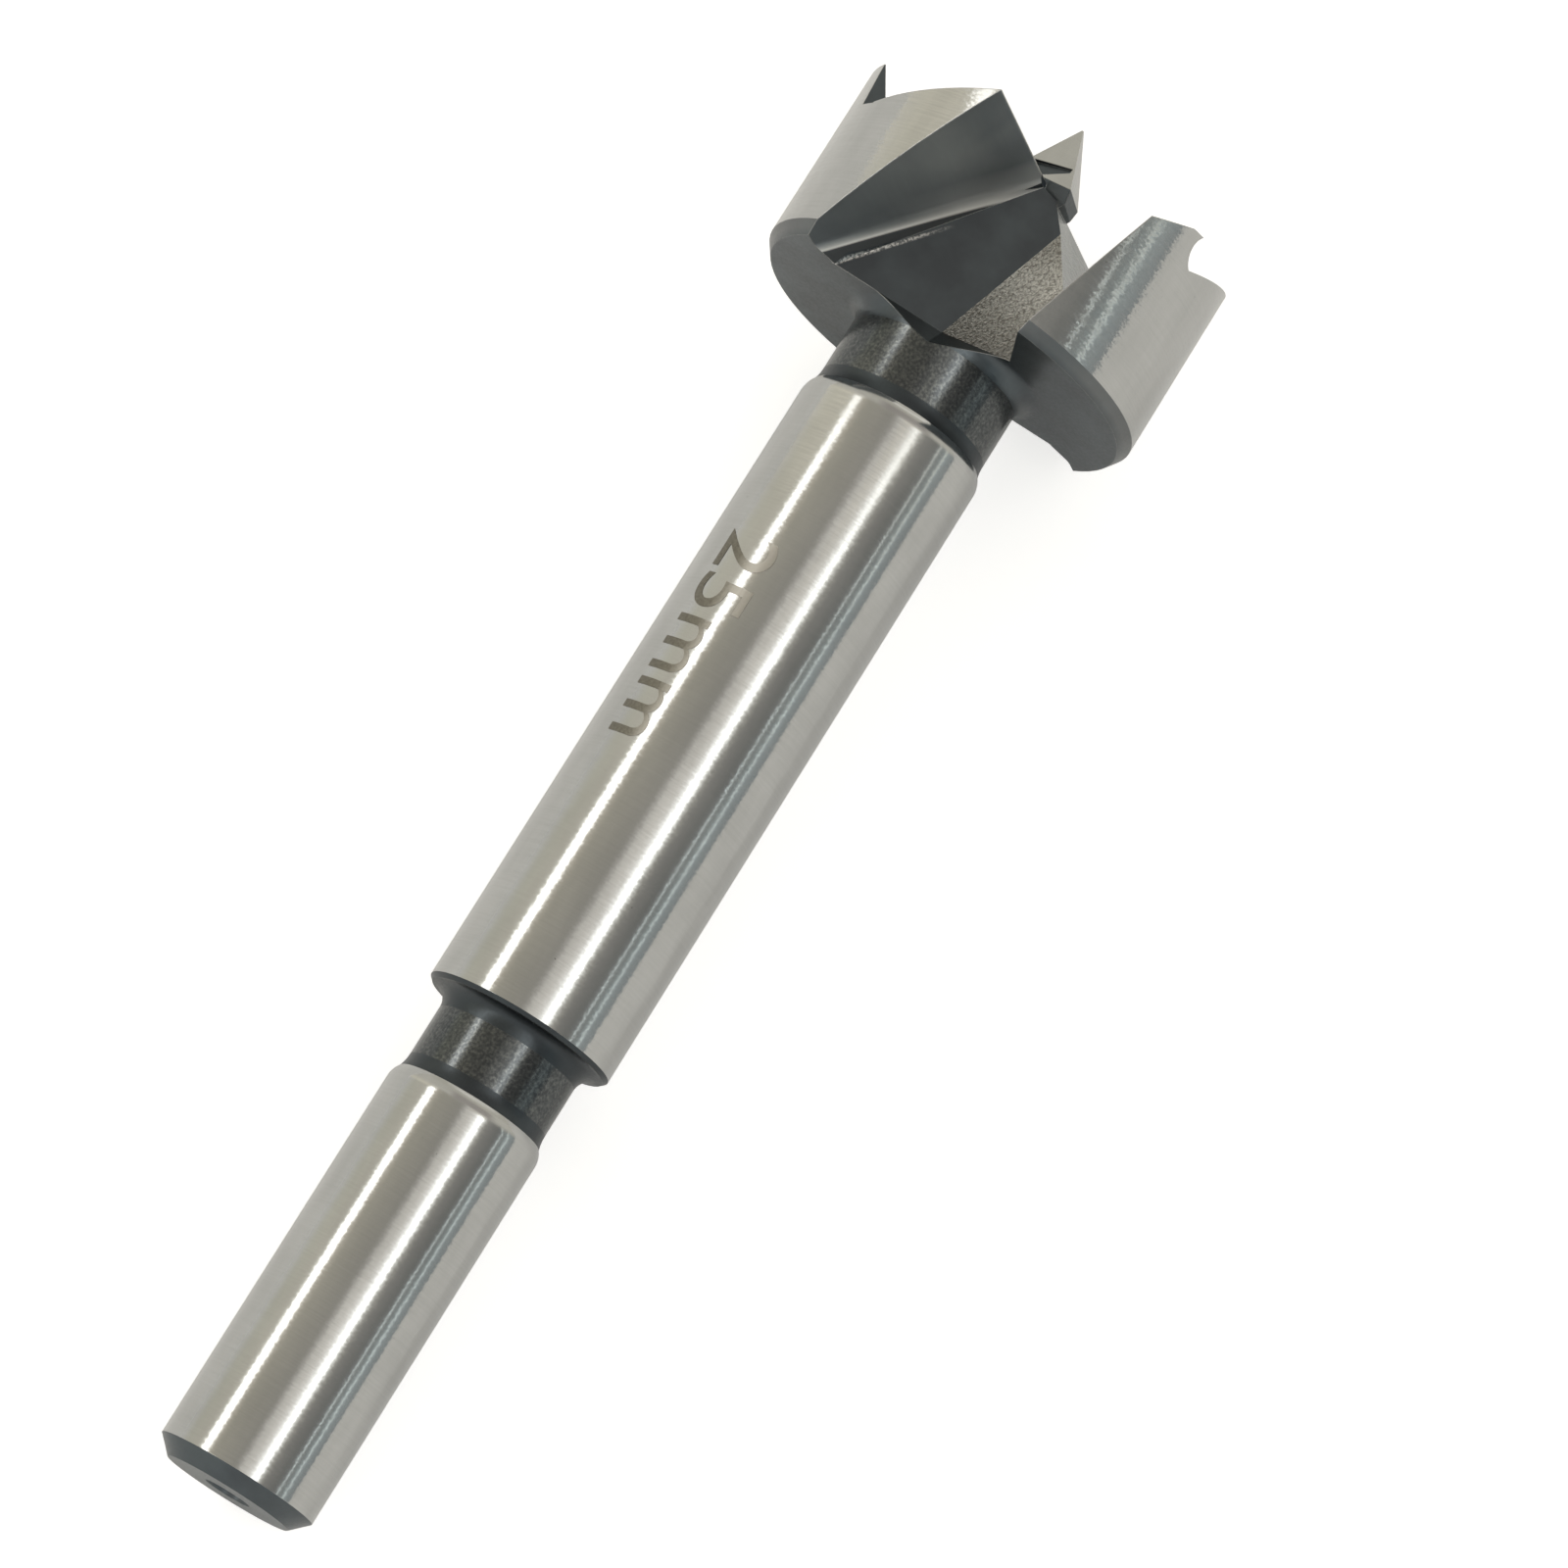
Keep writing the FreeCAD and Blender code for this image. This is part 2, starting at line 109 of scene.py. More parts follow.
# Each pattern has so many features to the millimetre, and then its detail and roughness.
drawn_round = node(tree, "VectorMath", (where, (0.25, 0.25, 8.0)), operation="MULTIPLY")
rings = node(tree, "TexNoise", (drawn_round, 1.0, 5.0, 0.7))
drawn_short = node(tree, "VectorMath", (where, (3.6, 3.6, 5.6)), operation="MULTIPLY")
streaks = node(tree, "TexNoise", (drawn_short, 1.0, 2.0, 0.5))
drawn_long = node(tree, "VectorMath", (where, (0.5, 0.5, 0.16)), operation="MULTIPLY")
patches = node(tree, "TexNoise", (drawn_long, 1.0, 3.0, 0.55))
pits = node(tree, "TexNoise", (where, 2.3, 2.0, 0.55))
eased = node(tree, "Bevel", {"Radius": 0.09 * MM}, samples=6)
lengthwise = node(tree, "CombineXYZ", BIT_AXIS)
around = node(tree, "VectorMath", (lengthwise, eased), operation="CROSS_PRODUCT")
uneven = node(tree, "Math", (streaks, -0.5), operation="ADD")
wider = node(tree, "MapRange", (off_axis(tree, where), 7.0, 11.0, 0.05, 0.10))
fray = node(tree, "Math", (uneven, wider), operation="MULTIPLY")
shift = node(tree, "VectorMath", (around, fray), operation="SCALE")
frayed = node(tree, "VectorMath", (eased, shift), operation="ADD")
relief = node(tree, "Bump", {
    "Height": rings, "Strength": 1.0, "Distance": 0.0003 * MM, "Normal": frayed,
})
patchy = node(tree, "MapRange", (patches, 0.35, 0.65, 0.0, 1.0))
tint = node(tree, "Mix", (patchy, srgb("#C5C6C5"), srgb("#BDBEBD")), data_type="RGBA")
scratched = node(tree, "MapRange", (rings, 0.35, 0.7, 0.0, 0.14))
tint = node(tree, "Mix", (scratched, tint, srgb("#8E8E8B")), data_type="RGBA")
pitted = node(tree, "MapRange", (pits, 0.785, 0.80, 0.0, 0.6))
tint = node(tree, "Mix", (pitted, tint, srgb("#4A4844")), data_type="RGBA")
steel = node(tree, "BsdfPrincipled", {
    "Base Color": tint,
    "Metallic": 1.0,
    "Roughness": node(tree, "MapRange", (rings, 0.36, 0.64, 0.10, 0.19)),
    "Anisotropic": 0.7,
    "Tangent": lengthwise,
    "Normal": relief,
})
node(tree, "OutputMaterial", (steel,))


def rounded(tree, radius, height, strength, depth):
    """The surface with its sharp edges eased, and the same with a relief of a real depth."""
    eased = node(tree, "Bevel", {"Radius": radius * MM}, samples=6)
    relief = node(tree, "Bump", {
        "Height": height, "Strength": strength, "Distance": depth * MM, "Normal": eased,
    })
    return eased, relief


# Tool steel ground flat, on the lands, the backs of the lifters and the bevel inside the rim:
# plain and half bright, with faint lines across the head.
flat_ground, tree, where = new_steel("flat_ground_tool_steel")
drawn_across = node(tree, "VectorMath", (where, (0.3, 6.0, 6.0)), operation="MULTIPLY")
lines = node(tree, "TexNoise", (drawn_across, 1.0, 3.0, 0.5))
cloud = node(tree, "TexNoise", (where, 0.3, 3.0, 0.55))
eased, relief = rounded(tree, 0.09, lines, 1.0, 0.001)
cloudy = node(tree, "MapRange", (cloud, 0.35, 0.65, 0.0, 1.0))
steel = node(tree, "BsdfPrincipled", {
    "Base Color": node(tree, "Mix", (cloudy, srgb("#A3A6A7"), srgb("#ADAFAF")), data_type="RGBA"),
    "Metallic": 1.0,
    "Roughness": node(tree, "MapRange", (lines, 0.35, 0.65, 0.24, 0.32)),
    "Normal": relief,
})
node(tree, "OutputMaterial", (steel,))

# The lobes in numbers: the way the first one looks, where the cutting edge lies, how far
# behind the middle it starts, how far the rake face leans back for each millimetre down, and
# the line where its foot begins.
BIT_SIDE = BIT_TURN.to_matrix() @ Vector((0.0, 1.0, 0.0))
EDGE = 91.25
EDGE_BEHIND = 0.5
RAKE_SLOPE = 0.584
FOOT_SLOPE = 0.54
FOOT_START = 51.71


def lobe_side(tree):
    """1 on the faces of one lobe, and -1 on the like faces of the other."""
    normal = node(tree, "NewGeometry").outputs["Normal"]
    facing = node(tree, "VectorMath", (normal, BIT_SIDE), operation="DOT_PRODUCT")
    return node(tree, "Math", (facing,), operation="SIGN")


def under_rake(tree, where):
    """How far a point lies under its lobe's ground rake face, in millimetres."""
    parts = node(tree, "SeparateXYZ", (where,)).outputs
    out = node(tree, "Math", (
        parts["Y"], lobe_side(tree), EDGE * RAKE_SLOPE - EDGE_BEHIND,
    ), operation="MULTIPLY_ADD")
    return node(tree, "Math", (parts["Z"], -RAKE_SLOPE, out), operation="MULTIPLY_ADD")


def worn_edge(tree, eased):
    """1 on a sharp edge, where handling and honing leave bare metal, and 0 on a face."""
    normal = node(tree, "NewGeometry").outputs["Normal"]
    facing = node(tree, "VectorMath", (eased, normal), operation="DOT_PRODUCT")
    return node(tree, "MapRange", (facing, 0.90, 0.80, 0.0, 1.0))


# The rake faces under the cutting edges, ground and then thinly blackened: a smooth blue
# grey that still mirrors the gullet, with painted shade that darkens it by the brad point.
# Their rounded foot is burnished bright by the chips and painted brighter still as a painted
# highlight, the groove below it is painted dark as painted shade, and a painted sheen lies a
# little above the foot.
rake_grey, tree, where = new_steel("thinly_blackened_steel")
drawn_across = node(tree, "VectorMath", (where, (0.5, 3.0, 3.0)), operation="MULTIPLY")
lines = node(tree, "TexNoise", (drawn_across, 1.0, 3.0, 0.5))
cloud = node(tree, "TexNoise", (where, 0.22, 2.0, 0.55))
grain = node(tree, "TexNoise", (where, 6.0, 3.0, 0.55))
eased, relief = rounded(tree, 0.12, grain, 0.1, 0.002)
parts = node(tree, "SeparateXYZ", (where,)).outputs
under = under_rake(tree, where)
foot = node(tree, "Math", (parts["Z"], FOOT_SLOPE, -FOOT_START), operation="MULTIPLY_ADD")
outside = node(tree, "Math", (parts["X"], lobe_side(tree), foot), operation="MULTIPLY_ADD")
cloudy = node(tree, "MapRange", (cloud, 0.35, 0.65, 0.0, 1.0))
tint = node(tree, "Mix", (cloudy, srgb("#7D8387"), srgb("#8A9093")), data_type="RGBA")
lined = node(tree, "MapRange", (lines, 0.35, 0.65, 0.0, 0.15))
tint = node(tree, "Mix", (lined, tint, srgb("#787D80")), data_type="RGBA")
# Painted shade: the rake faces are darkened towards the brad point.
painted_shade_by_brad = node(tree, "Math", (
    node(tree, "MapRange", (off_axis(tree, where), 5.0, 8.5, 0.45, 0.0)),
    node(tree, "MapRange", (parts["Z"], 86.6, 88.6, 0.0, 1.0)),
), operation="MULTIPLY")
tint = node(tree, "Mix", (painted_shade_by_brad, tint, srgb("#4E5356")), data_type="RGBA")
# Painted sheen: a pale glow painted on the rake face a little above its foot.
glow = node(tree, "Math", (
    node(tree, "MapRange", (outside, 0.1, 1.9, 1.0, 0.0)),
    node(tree, "MapRange", (parts["Z"], 83.8, 86.6, 0.0, 0.4)),
), operation="MULTIPLY")
tint = node(tree, "Mix", (glow, tint, srgb("#D5D6D5")), data_type="RGBA")
# Burnished metal and painted highlight: the foot is painted near white towards the groove.
toward_foot = node(tree, "MapRange", (under, 0.02, 0.32, 0.0, 1.0))
burnish_and_painted_highlight = node(tree, "Math", (toward_foot, 2.0), operation="POWER")
tint = node(tree, "Mix", (burnish_and_painted_highlight, tint, srgb("#EAE9E5")), data_type="RGBA")
# Painted shade: the groove below the foot is painted dark.
painted_groove_shade = node(tree, "MapRange", (under, 0.35, 0.41, 0.0, 1.0))
tint = node(tree, "Mix", (painted_groove_shade, tint, srgb("#4C4F51")), data_type="RGBA")
tint = node(tree, "Mix", (worn_edge(tree, eased), tint, srgb("#D5D4D0")), data_type="RGBA")
steel = node(tree, "BsdfPrincipled", {
    "Base Color": tint,
    "Metallic": 0.6,
    "Roughness": node(tree, "MapRange", (burnish_and_painted_highlight, 0.0, 1.0, 0.29, 0.5)),
    "Normal": relief,
})
node(tree, "OutputMaterial", (steel,))

# Black oxide, a thin chemical black on machined steel: dark grey, half glossy and a little
# uneven, with painted shade that darkens the turned shoulders by the necks, and worn through
# to metal on the sharpest edges, round the rear rim and on the lip where the chips leave the
# groove.
black, tree, where = new_steel("black_oxide_steel")
grain = node(tree, "TexNoise", (where, 6.0, 4.0, 0.55))
cloud = node(tree, "TexNoise", (where, 0.35, 3.0, 0.55))
eased, relief = rounded(tree, 0.08, grain, 0.12, 0.006)
height = node(tree, "SeparateXYZ", (where,)).outputs["Z"]
cloudy = node(tree, "MapRange", (cloud, 0.35, 0.65, 0.0, 1.0))
tint = node(tree, "Mix", (cloudy, srgb("#54595D"), srgb("#5D6468")), data_type="RGBA")
rim = node(tree, "Math", (
    node(tree, "MapRange", (off_axis(tree, where), 11.8, 12.2, 0.0, 0.22)),
    node(tree, "MapRange", (height, 82.0, 83.0, 1.0, 0.0)),
), operation="MULTIPLY")
tint = node(tree, "Mix", (rim, tint, srgb("#B4B3B0")), data_type="RGBA")
# Painted shade: the black oxide is darkened on the turned shoulders by the necks.
painted_shade_on_shoulders = node(tree, "Math", (
    node(tree, "MapRange", (height, 75.0, 76.0, 0.45, 0.0)),
    node(tree, "MapRange", (height, 1.05, 1.5, 0.0, 1.0)),
), operation="MULTIPLY")
tint = node(tree, "Mix", (painted_shade_on_shoulders, tint, srgb("#2B2F32")), data_type="RGBA")
under = under_rake(tree, where)
lip = node(tree, "MapRange", (under, 0.74, 0.86, 0.0, 1.0))
for limit in (
    node(tree, "MapRange", (under, 0.92, 1.08, 1.0, 0.0)),
    node(tree, "MapRange", (height, 83.2, 85.6, 1.0, 0.0)),
    node(tree, "MapRange", (grain, 0.44, 0.56, 0.15, 1.0)),
):
    lip = node(tree, "Math", (lip, limit), operation="MULTIPLY")
tint = node(tree, "Mix", (lip, tint, srgb("#EDEDEA")), data_type="RGBA")
tint = node(tree, "Mix", (worn_edge(tree, eased), tint, srgb("#BAB8B3")), data_type="RGBA")
steel = node(tree, "BsdfPrincipled", {
    "Base Color": tint,
    "Metallic": 1.0,
    "Roughness": node(tree, "MapRange", (grain, 0.3, 0.7, 0.28, 0.38)),
    "Normal": relief,
})
node(tree, "OutputMaterial", (steel,))

# The flank of each gullet, as it left the forging die: a leathery grain of small pads with
# darker creases between them, which scatters the light. Its colour carries painted shading:
# darkest by the stem, as painted shade, and palest a little above the middle, as a painted
# highlight.
forged, tree, where = new_steel("forged_steel")
wobble = node(tree, "TexNoise", (where, 1.6, 3.0, 0.55))
bent = node(tree, "VectorMath", (where, wobble), operation="ADD")
drawn_up = node(tree, "VectorMath", (bent, (7.0, 7.0, 4.4)), operation="MULTIPLY")
pads = node(tree, "TexVoronoi", {
    "Vector": drawn_up, "Scale": 1.0, "Smoothness": 0.5,
}, feature="SMOOTH_F1")
grit = node(tree, "TexNoise", (where, 6.5, 4.0, 0.6))
leather = node(tree, "Math", (pads, -0.7, grit), operation="MULTIPLY_ADD")
eased, relief = rounded(tree, 0.12, leather, 1.0, 0.065)
height = node(tree, "SeparateXYZ", (where,)).outputs["Z"]
up_flank = node(tree, "MapRange", (height, 78.0, 89.0, 0.0, 1.0))
# Painted shading up the flank: dark by the stem, palest a little above the middle.
painted_shading_up_flank = node(tree, "ValToRGB", (up_flank,), stops=[
    (0.09, srgb("#979591")),
    (0.36, srgb("#C2C0BA")),
    (0.64, srgb("#EFEDE7")),
    (0.91, srgb("#C8C6C0")),
])
creases = node(tree, "ValToRGB", (pads,), stops=[
    (0.15, srgb("#FFFFFF")),
    (0.45, srgb("#EFEFEF")),
    (0.75, srgb("#B4B2B0")),
])
steel = node(tree, "BsdfPrincipled", {
    "Base Color": node(tree, "Mix", (1.0, painted_shading_up_flank, creases), data_type="RGBA", blend_type="MULTIPLY"),
    "Metallic": 1.0,
    "Roughness": 0.38,
    "Normal": relief,
})
node(tree, "OutputMaterial", (steel,))

# The necks, blasted before they were blackened: black oxide over a fine even grain, which
# breaks the highlights up into specks. The grain is drawn a little coarse to show.
blasted, tree, where = new_steel("blasted_black_steel")
grain = node(tree, "TexNoise", (where, 5.5, 2.0, 0.5))
eased, relief = rounded(tree, 0.12, grain, 1.0, 0.003)
steel = node(tree, "BsdfPrincipled", {
    "Base Color": node(tree, "ValToRGB", (grain,), stops=[
        (0.36, srgb("#4F5254")),
        (0.54, srgb("#5F6263")),
        (0.70, srgb("#707372")),
    ]),
    "Metallic": 1.0,
    "Roughness": 0.17,
    "Normal": relief,
})
node(tree, "OutputMaterial", (steel,))

# Where each finish lies, with the bit stood up on its shank's end: heights up from there,
# radii round its axis, and the ways in which the faces of its first lobe look.
lay_down = Matrix.Translation(BIT_PLACE) @ BIT_TURN.to_matrix().to_4x4() @ Matrix.Scale(MM, 4)
stand_up = lay_down.inverted()
turn_up = BIT_TURN.to_matrix().transposed()
SHANK_CHAMFER = 1.0
SHANK_TOP = 25.9
SHANK_FLARE = 26.8
BODY_FILLET = 30.0
BODY_EDGE = 31.39
BODY_TOP = 73.65
BODY_FLARE = 74.55
RUN_OUT = 76.5
HEAD_FILLET = 78.15
REAR_FACE = 79.23
CUP_FLOOR = 85.15
BRAD_UNDERCUT = 90.4
BRAD_TIP = 95.6
INSIDE_SHANK = 4.0
BRAD_RADIUS = 2.7
CUP_RADIUS = 9.8
FLANK_RADIUS = 12.2
WALL_RADIUS = 12.38
RAKE_DEPTH = 0.75
RAKE_FOOT = Vector((0.238, 0.887, -0.395))
FLANK = Vector((0.9565, -0.0250, 0.2907))
LAND = Vector((0.0, -0.3157, 0.9489))
BACK = Vector((0.0, -0.8039, 0.5948))
FINISHES = {
    "ground": ground,
    "flat": flat_ground,
    "rake": rake_grey,
    "black": black,
    "forged": forged,
    "blasted": blasted,
}


def faces_like(normal, pattern, likeness=0.995):
    """True for a face turned like the pattern, on either of the two like lobes."""
    other = Vector((-pattern.x, -pattern.y, pattern.z))
    return max(normal.dot(pattern), normal.dot(other)) > likeness


def finish_of(middle, normal, near, far):
    """How a face is finished, from where its middle lies, how it is turned, and how near to
    the axis and how far from it its corners come."""
    if middle.z < BODY_EDGE:
        if SHANK_CHAMFER < middle.z < SHANK_TOP and near > INSIDE_SHANK:
            return "ground"
        return "blasted" if SHANK_FLARE < middle.z < BODY_FILLET else "black"
    if middle.z < BODY_TOP:
        return "ground"
    if far < BRAD_RADIUS and BRAD_UNDERCUT < middle.z and not faces_like(normal, LAND):
        side_of_point = 0.25 < normal.z < 0.6
        return "ground" if side_of_point or middle.z > BRAD_TIP else "black"
    if faces_like(normal, FLANK, 0.985) and far < FLANK_RADIUS and middle.z > RUN_OUT:
        return "forged"
    if middle.z < REAR_FACE:
        return "blasted" if BODY_FLARE < middle.z < HEAD_FILLET else "black"
    upright = abs(normal.z) < 0.1
    if upright and near > WALL_RADIUS:
        return "ground"
    lobe_y = middle.y if normal.y > 0.0 else -middle.y
    under = lobe_y - EDGE_BEHIND + (EDGE - middle.z) * RAKE_SLOPE
    if faces_like(normal, RAKE_FOOT, 0.94) and under < RAKE_DEPTH:
        return "rake"
    if faces_like(normal, LAND) or faces_like(normal, BACK):
        return "flat"
    inward = -normal.dot(Vector((middle.x, middle.y, 0.0)).normalized())
    if middle.z > CUP_FLOOR and far > CUP_RADIUS and inward > 0.3:
        return "flat"
    return "black"


# The finished bit is the solid's own shape, with its seams merged, a finish on each face and
# every sharp edge kept crisp.
SHARP_ANGLE = radians(16)
SEAM = 0.002 * MM
SLIVER = 0.001 * MM
bit_mesh = bpy.data.meshes.new("forstner_bit_finished")
bit = bpy.data.objects.new("forstner_bit_finished", bit_mesh)
bpy.context.scene.collection.objects.link(bit)
for material in FINISHES.values():
    bit_mesh.materials.append(material)
shape = bmesh.new()
shape.from_mesh(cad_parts["forstner_bit"].data)
bmesh.ops.remove_doubles(shape, verts=shape.verts, dist=SEAM)
bmesh.ops.dissolve_degenerate(shape, edges=shape.edges, dist=SLIVER)
shape.normal_update()
for face in shape.faces:
    middle = stand_up @ face.calc_center_median()
    radii = [hypot(*(stand_up @ corner.co).xy) for corner in face.verts]
    finish = finish_of(middle, turn_up @ face.normal, min(radii), max(radii))
    face.material_index = list(FINISHES).index(finish)
    face.smooth = True
for edge in shape.edges:
    edge.smooth = edge.is_manifold and edge.calc_face_angle(0.0) < SHARP_ANGLE
shape.to_mesh(bit_mesh)
shape.free()
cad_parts["forstner_bit"].data.materials.clear()
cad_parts["forstner_bit"].data.materials.append(ground)
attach(bit, "root")
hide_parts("forstner_bit")

# The size mark, burnt into the ground body by a laser: a dark, matt "25mm" that reads from
# the head towards the shank, with its feet to the left of the first highlight. Its colour is
# painted brighter where the highlight crosses it, as a painted highlight.
BODY_RADIUS = 6.0
MARK_START = 62.5
MARK_LENGTH = 14.1
MARK_HEIGHT = 3.85
MARK_FOOT_ANGLE = radians(-27.4)
MARK_PROUD = 0.012
MARK_STEP = 0.3

etched, tree, where = new_steel("laser_etched_steel")
speckle = node(tree, "TexNoise", (where, 7.0, 3.0, 0.55))
tint = node(tree, "ValToRGB", (speckle,), stops=[(0.3, srgb("#716E66")), (0.7, srgb("#86837A"))])
sideways = node(tree, "SeparateXYZ", (where,)).outputs["Y"]
# Painted highlight: the mark is painted brighter on the side where the highlight crosses it.
painted_highlight_on_mark = node(tree, "MapRange", (sideways, -1.1, 0.3, 0.0, 0.8))
steel = node(tree, "BsdfPrincipled", {
    "Base Color": node(tree, "Mix", (painted_highlight_on_mark, tint, srgb("#B9B6B0")), data_type="RGBA"),
    "Metallic": 1.0,
    "Roughness": 0.36,
})
node(tree, "OutputMaterial", (steel,))

letters = bpy.data.curves.new("size_mark_letters", "FONT")
letters.body = "25mm"
written = bpy.data.objects.new("size_mark_letters", letters)
bpy.context.scene.collection.objects.link(written)
bpy.context.view_layer.update()
flat = bpy.data.meshes.new_from_object(written.evaluated_get(bpy.context.evaluated_depsgraph_get()))
bpy.data.objects.remove(written)
shape = bmesh.new()
shape.from_mesh(flat)
bmesh.ops.remove_doubles(shape, verts=shape.verts, dist=1e-5)
low = Vector([min(vert.co[i] for vert in shape.verts) for i in range(3)])
high = Vector([max(vert.co[i] for vert in shape.verts) for i in range(3)])
size = high - low
bmesh.ops.translate(shape, verts=shape.verts, vec=-low)
bmesh.ops.scale(shape, verts=shape.verts, vec=(MARK_LENGTH / size.x, MARK_HEIGHT / size.y, 1.0))
for level in range(1, int(MARK_HEIGHT / MARK_STEP) + 1):
    bmesh.ops.bisect_plane(
        shape, geom=shape.verts[:] + shape.edges[:] + shape.faces[:],
        plane_co=(0.0, level * MARK_STEP, 0.0), plane_no=(0.0, 1.0, 0.0))
for vert in shape.verts:
    turn = MARK_FOOT_ANGLE + vert.co.y / BODY_RADIUS
    out = BODY_RADIUS + MARK_PROUD
    vert.co = lay_down @ Vector((out * cos(turn), out * sin(turn), MARK_START - vert.co.x))
bmesh.ops.recalc_face_normals(shape, faces=shape.faces)
shape.faces.ensure_lookup_table()
first = shape.faces[0]
middle = stand_up @ first.calc_center_median()
if (turn_up @ first.normal).dot(Vector((middle.x, middle.y, 0.0))) < 0:
    bmesh.ops.reverse_faces(shape, faces=shape.faces)
mark_mesh = bpy.data.meshes.new("size_mark")
shape.to_mesh(mark_mesh)
shape.free()
mark_mesh.materials.append(etched)
size_mark = bpy.data.objects.new("size_mark", mark_mesh)
bpy.context.scene.collection.objects.link(size_mark)
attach(size_mark, "root")

# The table: a plain pale board that shows white, with the bit's soft shadow on it. It lies a
# hair under the bit, and the steel mirrors it a little brighter than its paint.
TABLE_HALF = 1.5
TABLE_DROP = 0.02 * MM
TABLE_SEEN = 0.6
TABLE_MIRRORED = 0.09
table_mesh = bpy.data.meshes.new("table")
shape = bmesh.new()
bmesh.ops.create_grid(shape, x_segments=1, y_segments=1, size=TABLE_HALF)
bmesh.ops.translate(shape, verts=shape.verts, vec=(0.0, 0.0, -TABLE_DROP))
shape.to_mesh(table_mesh)
shape.free()
table = bpy.data.objects.new("table", table_mesh)
bpy.context.scene.collection.objects.link(table)
board = bpy.data.materials.new("white_board")
board.use_nodes = True
tree = board.node_tree
tree.nodes.clear()
ray = node(tree, "LightPath").outputs
seen = node(tree, "Math", (ray["Is Camera Ray"], TABLE_SEEN), operation="MULTIPLY")
shine = node(tree, "Math", (ray["Is Glossy Ray"], TABLE_MIRRORED, seen), operation="MULTIPLY_ADD")
paint = node(tree, "BsdfDiffuse", {"Color": srgb("#E6E6E6")})
glow = node(tree, "Emission", {"Color": srgb("#FFFFFF"), "Strength": shine})
node(tree, "OutputMaterial", (node(tree, "AddShader", (paint, glow)),))
table_mesh.materials.append(board)

# The studio: soft light from all round, with two long white strips over the bit that draw
# the highlights along it and two thin ones at its side. Angles run round the bit's axis from
# straight above it.
ABOVE = (-0.07762, -0.18107, 0.98040)
ACROSS = (0.01429, -0.98347, -0.18051)
FLAG = (0.55, -0.18, 0.82)
STEEL_MIRRORS = 0.55


def light(text, strength=1.0):
    """The light that makes the ground steel show this colour."""
    return [part * strength / STEEL_MIRRORS for part in srgb(text)[:3]] + [1.0]


STUDIO = [
    (-180.0, light("#ACACA8")),
    (-101.0, light("#ACABA7")),
    (-88.0, light("#A5A397")),
    (-69.0, light("#A7A398")),
    (-63.4, light("#B0ADA2")),
    (-59.9, light("#FFFDF8", 2.2)),
    (-54.2, light("#FFFDF8", 2.2)),
    (-50.6, light("#A9A294")),
    (-43.0, light("#928E83")),
    (-10.0, light("#85827B")),
    (-5.0, light("#98958F")),
    (-1.0, light("#B5B2AB")),
    (6.0, light("#BFBBB4")),
    (13.0, light("#D6D3CD")),
    (17.5, light("#FFFEFB", 1.2)),
    (20.0, light("#FFFFFC", 1.8)),
    (24.0, light("#FFFFFC", 1.8)),
    (26.0, light("#D0CFC8")),
    (30.0, light("#8E8B84")),
    (36.0, light("#767470")),
    (50.0, light("#666663")),
    (56.2, light("#6C6D6C")),
    (57.6, light("#DDE7E5")),
    (59.0, light("#727371")),
    (62.5, light("#747978")),
    (66.5, light("#7F8585")),
    (68.0, light("#E2ECE9")),
    (69.6, light("#868C8C")),
    (81.0, light("#757979")),
    (86.0, light("#808383")),
    (98.0, light("#989B9E")),
    (180.0, light("#919497")),
]
studio = bpy.data.worlds.new("studio")
bpy.context.scene.world = studio
studio.use_nodes = True
tree = studio.node_tree
tree.nodes.clear()
direction = node(tree, "TexCoord").outputs["Generated"]
along, above, across = [
    node(tree, "VectorMath", (direction, way), operation="DOT_PRODUCT")
    for way in (BIT_AXIS, ABOVE, ACROSS)
]
turn = node(tree, "Math", (across, above), operation="ARCTAN2")
round_axis = node(tree, "MapRange", (turn, -pi, pi, 0.0, 1.0))
sky = node(tree, "ValToRGB", (round_axis,), stops=[(0.5 + angle / 360, at) for angle, at in STUDIO])

# Ahead of the body the strips end, so that the head's walls mirror plain light, warmer from
# the left and cooler from the right.
past_strips = node(tree, "MapRange", (along, 0.312, 0.332, 0.0, 1.0))
sky = node(tree, "Mix", (past_strips, sky, light("#BFBAAE")), data_type="RGBA", blend_type="DARKEN")
by_head = node(tree, "MapRange", (along, 0.300, 0.314, 0.0, 1.0))
leftward = node(tree, "MapRange", (turn, -1.15, -1.00, 1.0, 0.0))
left = node(tree, "Math", (by_head, leftward), operation="MULTIPLY")
sky = node(tree, "Mix", (left, sky, light("#BCB7A8")), data_type="RGBA", blend_type="LIGHTEN")
rightward = node(tree, "MapRange", (turn, 1.48, 1.71, 0.0, 1.0))
right = node(tree, "Math", (by_head, rightward), operation="MULTIPLY")
sky = node(tree, "Mix", (right, sky, light("#A3A6AB")), data_type="RGBA", blend_type="LIGHTEN")

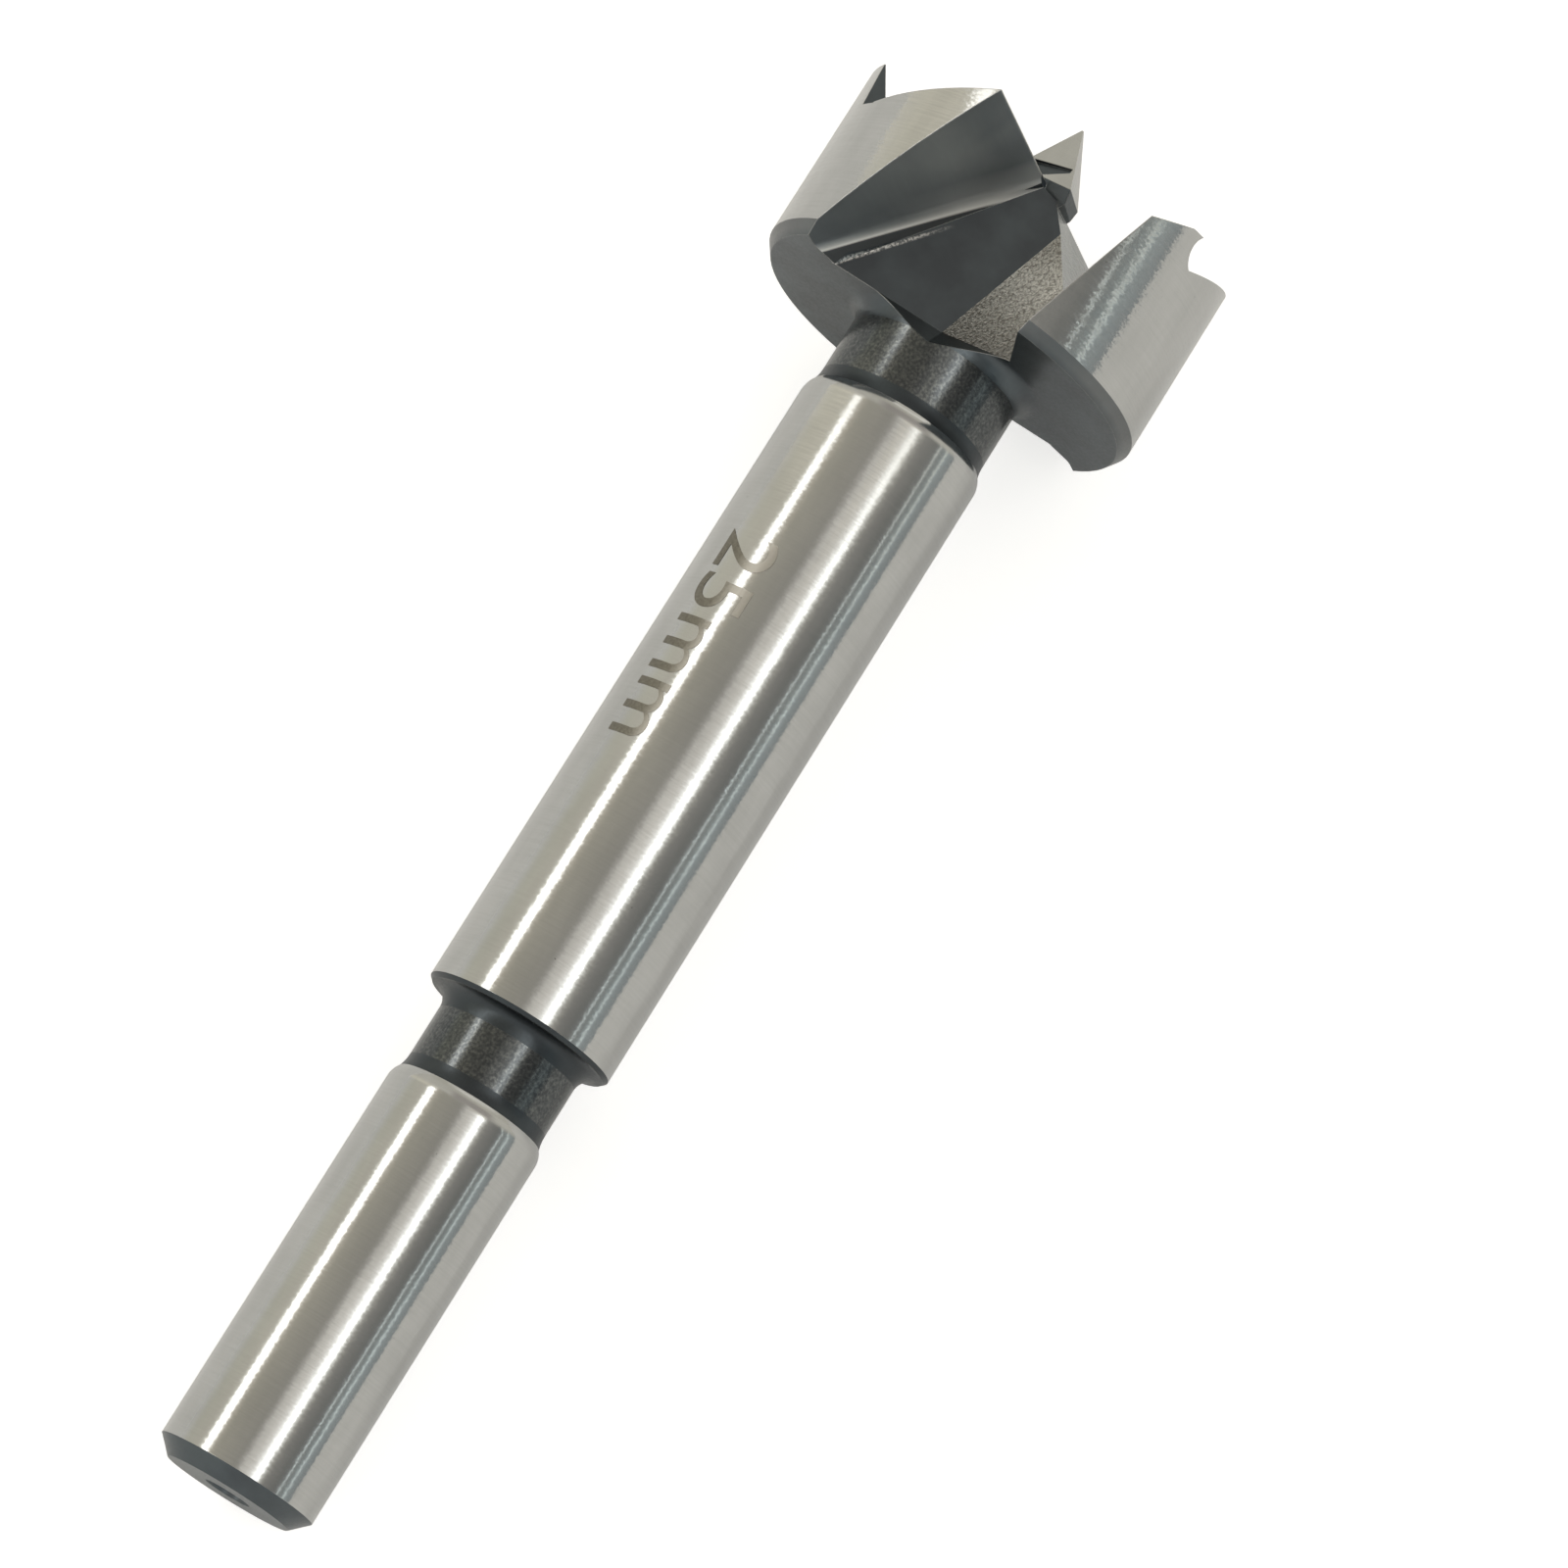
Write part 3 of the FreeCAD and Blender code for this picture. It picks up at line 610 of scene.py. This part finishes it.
# Plain light beyond the shank's end and beyond the head, and in it the dark flag that the
# gullet's floor mirrors.
behind = node(tree, "MapRange", (along, -0.72, -0.93, 0.0, 1.0))
sky = node(tree, "Mix", (behind, sky, light("#A8A7A4")), data_type="RGBA")
ahead = node(tree, "MapRange", (along, 0.36, 0.50, 0.0, 1.0))
sky = node(tree, "Mix", (ahead, sky, light("#A8A59C")), data_type="RGBA")
toward_flag = node(tree, "VectorMath", (direction, FLAG), operation="DOT_PRODUCT")
flag = node(tree, "Math", (
    node(tree, "MapRange", (toward_flag, 0.84, 0.93, 0.0, 1.0)),
    node(tree, "MapRange", (along, 0.38, 0.48, 0.0, 1.0)),
), operation="MULTIPLY")
sky = node(tree, "Mix", (flag, sky, light("#8A8580")), data_type="RGBA")

# The light straight ahead, which the faces that lean towards the head mirror, with a paler
# ring in it. The table's backdrop shows white.
front = node(tree, "MapRange", (along, 0.74, 0.80, 0.0, 1.0))
sky = node(tree, "Mix", (front, sky, light("#A19E94")), data_type="RGBA")
ring = node(tree, "Math", (
    node(tree, "MapRange", (along, 0.88, 0.95, 0.0, 1.0)),
    node(tree, "MapRange", (along, 0.95, 0.98, 1.0, 0.0)),
), operation="MULTIPLY")
sky = node(tree, "Mix", (ring, sky, light("#D2CFC8")), data_type="RGBA")
camera_ray = node(tree, "LightPath").outputs["Is Camera Ray"]
shown = node(tree, "Mix", (camera_ray, sky, srgb("#FFFFFF")), data_type="RGBA")
node(tree, "OutputWorld", (node(tree, "Background", {"Color": shown, "Strength": 1.0}),))

# The camera, at the photograph's place: high over the shank's side, with a long lens.
lens = bpy.data.cameras.new("camera")
lens.lens = 141.99
lens.sensor_width = 36.0
lens.clip_start = 0.01
camera = bpy.data.objects.new("camera", lens)
camera.location = (-0.10382, -0.069079, 0.346422)
camera.rotation_euler = (radians(20.3424), radians(-0.2291), radians(-58.8817))
bpy.context.scene.collection.objects.link(camera)
bpy.context.scene.camera = camera
bpy.context.scene.view_settings.view_transform = "Standard"
